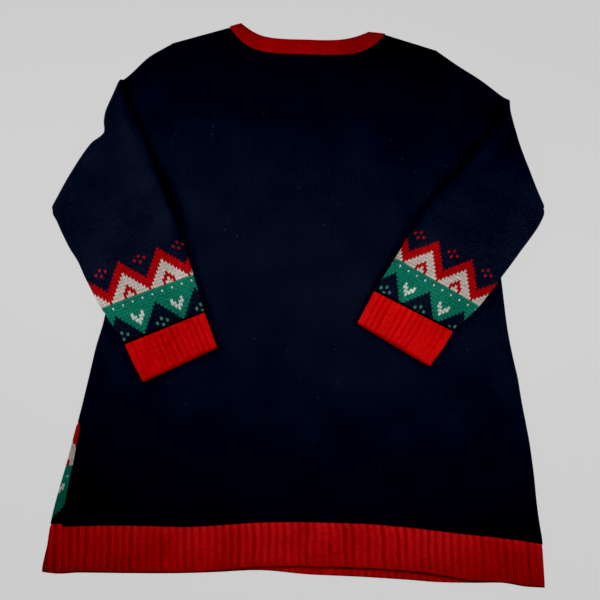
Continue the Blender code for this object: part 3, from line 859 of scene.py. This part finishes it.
def cuff(side, cloth, seed):
    """A cuff: a flat ribbed tube that carries on from a sleeve."""
    radius = RIB + LAYER_GAP / 2
    level = THICK + LIE_GAP + radius
    keys, way, length = dense(CUFFS[side], 3.4)
    edge_in, unit, width = edges_of(keys)
    down = np.array(CUFFS[side][2]) - np.array(CUFFS[side][0])
    down = (down[:2] + down[2:]) / np.linalg.norm(down[:2] + down[2:])
    count = 2 * int(round(CUFF_WIDTH / CUFF_RIB))
    place = rib_columns(count)
    up = (way / length)[:, None]

    # ribs are spread evenly round the section: two flat sides and two bends
    bend = PI * radius
    around = 2 * (CUFF_WIDTH - 2 * radius + bend)
    shifted = place[None, :] * around + wander(place * around, up, seed, 1.3)
    flat = width - 2 * radius
    side_and_bend = flat + bend
    run = shifted / around * 2 * side_and_bend % (2 * side_and_bend)
    half, run = np.divmod(run, side_and_bend)
    share = 2 * half + np.where(run < flat, run / flat, 1 + (run - flat) / bend)

    from_edge = np.minimum(way, length - way)[:, None]
    in_by = edge_depth(from_edge, RIB)
    groove = rib_depth(place, count, CUFF_RIB_DEPTH, seed)

    def layer(depth):
        along, height = flattened(width, radius, depth, share)
        t = along / width
        top = np.clip(height / radius, 0, 1)
        short = CUFF_SHORT * top * up ** 2 * np.sin(PI * np.clip(t, 0, 1) ** 0.8) ** 0.8
        x, y = (edge_in[:, k, None] + unit[:, k, None] * along - down[k] * short for k in (0, 1))
        puff = 0.8 * np.sin(PI * t) ** 0.6 + 0.2 * ripple(x, y, seed, 40)
        return to_frame(x, y, level + height + body_relief(x, y) + top * puff)

    stitch = rib_stitches(np.append(place, 1), count, -up, length)
    outer = layer(np.maximum(in_by, groove))
    return shell("cuff_cloth_" + side, outer, layer(RIB - in_by), stitch, cloth)


# ---- the neckband

def neck_stops():
    """All round the neck: the angle, 1 on the back or 0 on the front, and the band's lean.

    The lean is the way its outer side faces: up on the back and down on the front.
    """
    angles = np.linspace(0, PI, 360)
    bends = np.linspace(PI / 2, -PI / 2, 12)[1:-1]
    stops = [(angle, 1, PI / 2) for angle in angles]
    stops += [(PI, 1, lean) for lean in bends]
    stops += [(angle, 0, -PI / 2) for angle in angles[::-1]]
    stops += [(0, 0, lean) for lean in bends[::-1]]
    return np.array(stops).T


def neckband(cloth):
    """A ring round the neck: sections across the band, closed along the neck."""
    low = BAND / 2
    rise = (JERSEY + LAYER_GAP) / 2
    angle, on_back, lean = neck_stops()

    def edge(back_line, front_line):
        back, front = (np.stack(neck_point(angle, line), axis=1) for line in (back_line, front_line))
        return np.where(on_back[:, None] > 0.5, back, front)

    seam = edge(BACK_SEAM, FRONT_SEAM)
    free = edge(BACK_FREE, FRONT_FREE)
    way = running(lengths((seam + free) / 2) + np.abs(np.diff(lean)) * rise)
    ribs = 2 * int(way[-1] / NECK_RIB / 2)
    groove = NECK_RIB_DEPTH * (1 - np.abs(np.sin(way / way[-1] * ribs * PI)) ** 0.7)

    # a section runs along the outer side from the seam to the free edge, and back inside
    width = np.linalg.norm(free - seam, axis=1).mean()
    outside = graded(width, 2.4, (0, 0.15, 0.5, 1, 1.6)) / width
    t = np.concatenate((outside, outside[::-1][1:-1]))[:, None]
    sign = np.where(np.arange(len(t)) < len(outside), 1, -1)[:, None]
    half = low - edge_depth(np.minimum(t, 1 - t) * width, BAND)
    puff = 0.35 * np.sin(PI * t) * np.clip(np.sin(lean), 0, 1)
    reach = rise + sign * half + (sign > 0) * (puff - groove)
    x, y = (mix(seam[:, k], free[:, k], t) for k in (0, 1))
    lift = np.maximum(0.35 * ripple(x, y, 31, 70) * np.clip(lean, 0, 1), -0.2)
    points = to_frame(x, y + reach * np.cos(lean), low + rise + reach * np.sin(lean) + lift)
    around = running(lengths(np.concatenate((t * width, sign * half), axis=1)))
    return ring("neckband_cloth", points, np.append(way, 2 * way[-1] - way[-2]),
                np.append(around, around[-1] + 2), way[-1] / ribs, cloth)


def ring(name, points, along, around, rib, cloth):
    """A closed ring from a grid of points that meets itself both ways.

    along, around: ways to each column and each row, and at last back to the first.
    """
    rows, columns = points.shape[:2]
    row, column = (corners_of(grid).reshape(-1, 4) for grid in np.mgrid[:rows + 1, :columns + 1])
    points = points.reshape(-1, 3)
    quads = row % rows * columns + column % columns
    if volume(points, quads) < 0:
        quads, row, column = (part[:, ::-1] for part in (quads, row, column))
    bake = 0.005 + 0.99 * np.stack((along[column] / along[-1], around[row] / around[-1]), axis=-1)
    stitch = np.stack((along[column] / rib, around[row] / COURSE), axis=-1)
    return solid(name, points, quads, {"OFBake": bake, "Stitch": stitch}, cloth)


# ---- materials

class Value:
    """A number in a material's nodes, so that a rule reads as arithmetic."""

    def __init__(self, tree, socket):
        self.tree = tree
        self.socket = socket

    def op(self, operation, *others):
        node = self.tree.nodes.new("ShaderNodeMath")
        node.operation = operation
        for slot, item in zip(node.inputs, (self, *others)):
            if isinstance(item, Value):
                self.tree.links.new(item.socket, slot)
            else:
                slot.default_value = item
        return Value(self.tree, node.outputs[0])

    def __neg__(self):
        return self * -1

    def near(self, other, reach=0.5):
        return self.op("COMPARE", other, reach)


def method(operation):
    return lambda value, *others: value.op(operation, *others)


OPERATIONS = {
    "__add__": "ADD", "__sub__": "SUBTRACT", "__mul__": "MULTIPLY", "__truediv__": "DIVIDE",
    "abs": "ABSOLUTE", "floor": "FLOOR", "part": "FRACT", "wrap": "FLOORED_MODULO",
    "above": "GREATER_THAN", "below": "LESS_THAN", "max": "MAXIMUM", "min": "MINIMUM",
    "sine": "SINE", "power": "POWER",
}
for title, operation in OPERATIONS.items():
    setattr(Value, title, method(operation))


def chart_masks(column, row, thin, half, red_rows, cream_rows, green_rows, dots, vee):
    """Zigzag band by rule: pairs of a mask of stitches and their yarn's colour.

    column: stitches from the nearest peak's column, 0 to half.  row: rows below
    the peaks.  Under each red peak lie a cream triangle with a red arrow, then a
    green band with cream dots and a cream V, and small diamonds fill the navy.
    """
    green_top = red_rows + cream_rows
    bottom = green_top + green_rows + half
    under_peak = row - column
    red = under_peak.above(-0.5) * under_peak.below(red_rows - 0.5)
    cream = under_peak.above(red_rows - 0.5) * row.below(green_top - 0.5)
    green = row.above(green_top - 0.5) * (row + column).below(bottom - 0.5) * under_peak.above(-0.5)

    def motif(top, stitches):
        """Mask of single stitches, each given as rows below `top` and a column."""
        masks = [row.near(top + down) * column.near(at) for down, at in stitches]
        return functools.reduce(Value.max, masks)

    arrow = motif(green_top - 4, ((0, 0), (1, 0), (1, 1), (2, 1), (2, 2), (3, 2)))
    spots = row.near(green_top + dots[0]) * column.wrap(dots[1]).near(0) * thin
    vee = motif(green_top + vee, ((0, 2), (1, 1), (1, 2), (2, 0), (2, 1), (3, 0)))
    diamond = ((0, half), (1, half - 2), (2, half))
    red = red.max(arrow * cream)
    cream = (cream - arrow).max(0)
    white = (spots + vee).min(1) * green
    return ((red, BAND_RED), (cream, CREAM), (green, GREEN), (white, WHITE),
            (motif(0, diamond), MOTIF_RED), (motif(bottom - 3, diamond), MOTIF_GREEN))


def set_inputs(node, values):
    for title, value in values.items():
        node.inputs[title].default_value = value


def mixed(tree, factor, first, second):
    node = tree.nodes.new("ShaderNodeMix")
    node.data_type = "RGBA"
    slots = [s for s in node.inputs if s.type == "RGBA"]
    for slot, colour in zip(slots, (first, second)):
        if isinstance(colour, tuple):
            slot.default_value = (*colour, 1)
        else:
            tree.links.new(colour, slot)
    tree.links.new(factor.socket, node.inputs["Factor"])
    return [s for s in node.outputs if s.type == "RGBA"][0]


def noise(tree, scale, detail):
    place = tree.nodes.new("ShaderNodeTexCoord")
    node = tree.nodes.new("ShaderNodeTexNoise")
    set_inputs(node, {"Scale": scale, "Detail": detail})
    tree.links.new(place.outputs["Object"], node.inputs["Vector"])
    return Value(tree, node.outputs[0])


def new_material(name):
    made = bpy.data.materials.new(name)
    made.use_nodes = True
    return made, made.node_tree, made.node_tree.nodes["Principled BSDF"]


def stitch_place(tree, fibre, heather):
    """A point's wale and row, and its distances from the stitch's middle, 0 to 1."""
    uv = tree.nodes.new("ShaderNodeUVMap")
    uv.uv_map = "Stitch"
    split = tree.nodes.new("ShaderNodeSeparateXYZ")
    tree.links.new(uv.outputs["UV"], split.inputs[0])
    wale = Value(tree, split.outputs["X"]) + (heather - 0.5) * STITCH_WANDER
    row = Value(tree, split.outputs["Y"]) + (fibre - 0.5) * STITCH_WANDER
    # a stitch is two legs that lean in towards its foot
    across = (wale.part() - 0.5).abs() * 2
    row = row - across * STITCH_LEAN
    return wale, row, across, (row.part() - 0.5).abs() * 2


def charted(tree, ground, chart, wale, row, thin):
    """The yarn's colour by a chart, over the ground's colour."""
    half = chart["half"]
    column = ((wale.floor() + half).wrap(2 * half) - half).abs()
    bottom = chart["red_rows"] + chart["cream_rows"] + chart["green_rows"] + half
    counted = -row.floor() + (bottom - 1)
    for mask, yarn in chart_masks(column, counted, thin, **chart):
        ground = mixed(tree, mask, ground, yarn)
    return ground


def knit(name, colour, chart=None, rib=0, rib_shade=0.5, shade=0.45, mottle=1, tint=BLUE_SHEEN):
    """Knitted yarn: V stitches from the Stitch map, with fibres, and soft shade painted into the colour
    where stitches and grooves dip.

    `rib` is the number of stitches from one groove to the next.
    """
    made, tree, shader = new_material(name)
    fibre = noise(tree, 1500, 2)
    heather = noise(tree, 260, 3)
    patchy = noise(tree, 18, 2)
    wale, row, across, along = stitch_place(tree, fibre, heather)
    leg = ((wale * 2).part() - 0.5).abs() * 2
    height = (leg * -1 + 1).max(0).power(0.5) * (along.power(3) * -0.5 + 1)
    if chart:
        colour = charted(tree, colour, chart, wale, row, across.below(0.55) * along.below(0.7))
    # painted shade: the colour darkens between the stitches' legs and at their ends, where they dip
    painted_shade = (height * -1 + 1) * shade
    if rib:
        groove = ((wale / rib).part() - 0.5).abs() * 2
        # painted shade in the rib's grooves, where they dip; each groove's painted shade has a strength of
        # its own
        uneven = (((wale / rib + 0.5).floor() * 12.99).sine() * 437.5).part() * 0.9 + 0.55
        painted_shade = painted_shade.max(groove.power(1.5) * uneven * rib_shade)
    tone = (heather - 0.5) * 0.8 * mottle + (fibre - 0.5) * 0.5 + (patchy - 0.5) * 0.7 * mottle + 1
    bright = tree.nodes.new("ShaderNodeVectorMath")
    bright.operation = "SCALE"
    tree.links.new(mixed(tree, painted_shade, colour, (0, 0, 0)), bright.inputs[0])
    tree.links.new(tone.socket, bright.inputs["Scale"])
    tree.links.new(bright.outputs[0], shader.inputs["Base Color"])

    bump = tree.nodes.new("ShaderNodeBump")
    set_inputs(bump, {"Strength": 0.9, "Distance": STITCH_DEPTH})
    tree.links.new((height + (fibre - 0.5) * 0.5).socket, bump.inputs["Height"])
    tree.links.new(bump.outputs[0], shader.inputs["Normal"])
    set_inputs(shader, {"Roughness": 0.8, "Specular IOR Level": 0.006, "Sheen Weight": 0.004,
                        "Sheen Roughness": 0.5, "Sheen Tint": (*tint, 1)})
    return made


def plain(name, colour, roughness):
    made, tree, shader = new_material(name)
    tone = (noise(tree, 40, 3) - 0.5) * 0.02 + 0.5
    low = tuple(c * 0.97 for c in colour)
    tree.links.new(mixed(tree, tone, low, colour), shader.inputs["Base Color"])
    shader.inputs["Roughness"].default_value = roughness
    return made


# ---- lint

def lint(cloth):
    """Short stray fibres on the back, each a thin bent tube of four sides."""
    random = np.random.default_rng(5)
    corners = np.array(((0.7, 0.7, 0), (0, 0, 1), (-0.7, -0.7, 0), (0, 0, -1)))
    rings = np.arange(16).reshape(4, 4)[:, (0, 1, 2, 3, 0)]
    tube = np.concatenate((corners_of(rings).reshape(-1, 4), ((3, 2, 1, 0), (12, 13, 14, 15))))
    points = []
    for _ in range(LINT_COUNT):
        y = random.uniform(-290, 370)
        x = random.uniform(side_x("left", y) + 25, side_x("right", y) - 25)
        heading = random.uniform(0, 2 * PI)
        bend = random.uniform(-0.9, 0.9)
        reach = random.uniform(0.5, 1.5)
        radius = random.uniform(0.09, 0.15)
        base_z = THICK + float(body_relief(x, y)) + 0.15
        for step in range(4):
            arch = 0.25 * step * (3 - step) / 2
            points.extend(to_frame(*(corners * radius + (x, y, base_z + arch)).T))
            x += math.cos(heading) * reach
            y += math.sin(heading) * reach
            heading += bend
    faces = np.arange(0, len(points), 16)[:, None, None] + tube
    return solid("lint", np.array(points), faces.reshape(-1, 4), {}, cloth)


# ---- stage

CAMERA_ELEVATION = math.radians(70)
CAMERA_ROLL = math.radians(1.6)
CAMERA_DISTANCE = 1.5
CAMERA_LENS = 67.18


def camera():
    data = bpy.data.cameras.new("camera")
    data.lens = CAMERA_LENS
    data.sensor_width = 36
    made = add_object("camera", data)
    tilt = Matrix.Rotation(PI / 2 - CAMERA_ELEVATION, 4, "X")
    roll = Matrix.Rotation(CAMERA_ROLL, 4, "Z")
    away = Matrix.Translation((0, 0, CAMERA_DISTANCE))
    made.matrix_world = Matrix.Translation(to_frame(0, 0, 0)) @ tilt @ roll @ away
    bpy.context.scene.camera = made


def area_light(name, place, size, power, aim, spread):
    data = bpy.data.lights.new(name, "AREA")
    data.shape = "DISK"
    data.size = size
    data.energy = power
    data.spread = math.radians(spread)
    made = add_object(name, data)
    made.location = place
    made.rotation_euler = (Vector(aim) - Vector(place)).to_track_quat("-Z", "Y").to_euler()


def stage():
    square = FLOOR_HALF * np.array(((-1, -1, 0), (1, -1, 0), (1, 1, 0), (-1, 1, 0)))
    paper = plain("floor_paper", FLOOR, 0.9)
    set_inputs(paper.node_tree.nodes["Principled BSDF"], {
        "Specular IOR Level": 0, "Emission Color": WHITE_LIGHT, "Emission Strength": FLOOR_GLOW})
    floor = solid("floor", square, np.arange(4)[None], {}, paper)
    floor.location.z = FLOOR_Z
    world = bpy.data.worlds.new("studio")
    world.use_nodes = True
    set_inputs(world.node_tree.nodes["Background"], {"Color": WHITE_LIGHT, "Strength": 0.05})
    bpy.context.scene.world = world
    area_light("top", (0, 0, 0.85), 0.3, 0.42, (0, -0.01, 0), 62)
    area_light("left", (-0.95, 0.18, 0.46), 0.50, 1.93, (-0.10, 0.06, 0), 58)
    area_light("right", (0.95, 0.02, 0.46), 0.50, 1.56, (0.10, -0.03, 0), 58)
    view = bpy.context.scene.view_settings
    view.view_transform = "Standard"
    view.use_curve_mapping = True
    view.curve_mapping.black_level = (BLACK_POINT,) * 3
    view.curve_mapping.update()


# ---- pieces

SLEEVE_CHART = {"half": 8, "red_rows": 4, "cream_rows": 8, "green_rows": 4, "dots": (1, 4), "vee": 5}
FRONT_CHART = {"half": 10, "red_rows": 9, "cream_rows": 10, "green_rows": 7, "dots": (3, 3), "vee": 6}

camera()
stage()

navy = knit("navy_jersey", NAVY, shade=0.9)
navy_sleeve = knit("navy_jersey_sleeve", SLEEVE_NAVY_PAINTED_LIGHTER, SLEEVE_CHART, shade=1.0, mottle=1.35)
navy_front = knit("navy_jersey_front", NAVY, FRONT_CHART, shade=0.65)
red = knit("red_rib", HEM_RED_PAINTED_LIGHTER, rib=2.0, rib_shade=0.42, shade=0.2, tint=RED_SHEEN)
red_cuff = knit("red_rib_cuff", CUFF_RED, rib=2.0, rib_shade=0.30, shade=0.2, tint=RED_SHEEN)
red_band = knit("red_neckband", NECK_RED, shade=0.15, tint=RED_SHEEN)

SLEEVES = (
    # side, its cuff's seed, and its cut in metres: widest by middle, and area
    ("left", 51, (0.40, 0.41), 0.113),
    ("right", 61, (0.39, 0.38), 0.105),
)


def place_cloth(piece, node):
    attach(piece, "root")
    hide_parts(node)


back = panel("back_panel_cloth", False, BACK_SEAM, navy)
front = panel("front_panel_cloth", True, FRONT_SEAM, navy_front)
hem_back = hem("hem_back_cloth", False, red, 41)
hem_front = hem("hem_front_cloth", True, red, 47)
band = neckband(red_band)
place_cloth(front, "front_panel")
place_cloth(back, "back_panel")
place_cloth(hem_front, "hem_front")
place_cloth(hem_back, "hem_back")
place_cloth(band, "neckband")
for arm, rib_seed, cut, area in SLEEVES:
    cloth = sleeve(arm, navy_sleeve)
    end = cuff(arm, red_cuff, rib_seed)
    place_cloth(cloth, "sleeve_" + arm)
    place_cloth(end, "cuff_" + arm)

fibres = lint(plain("lint", LINT, 0.9))
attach(fibres, "root")


def corners(box):
    return [[float(value) for value in corner] for corner in box]
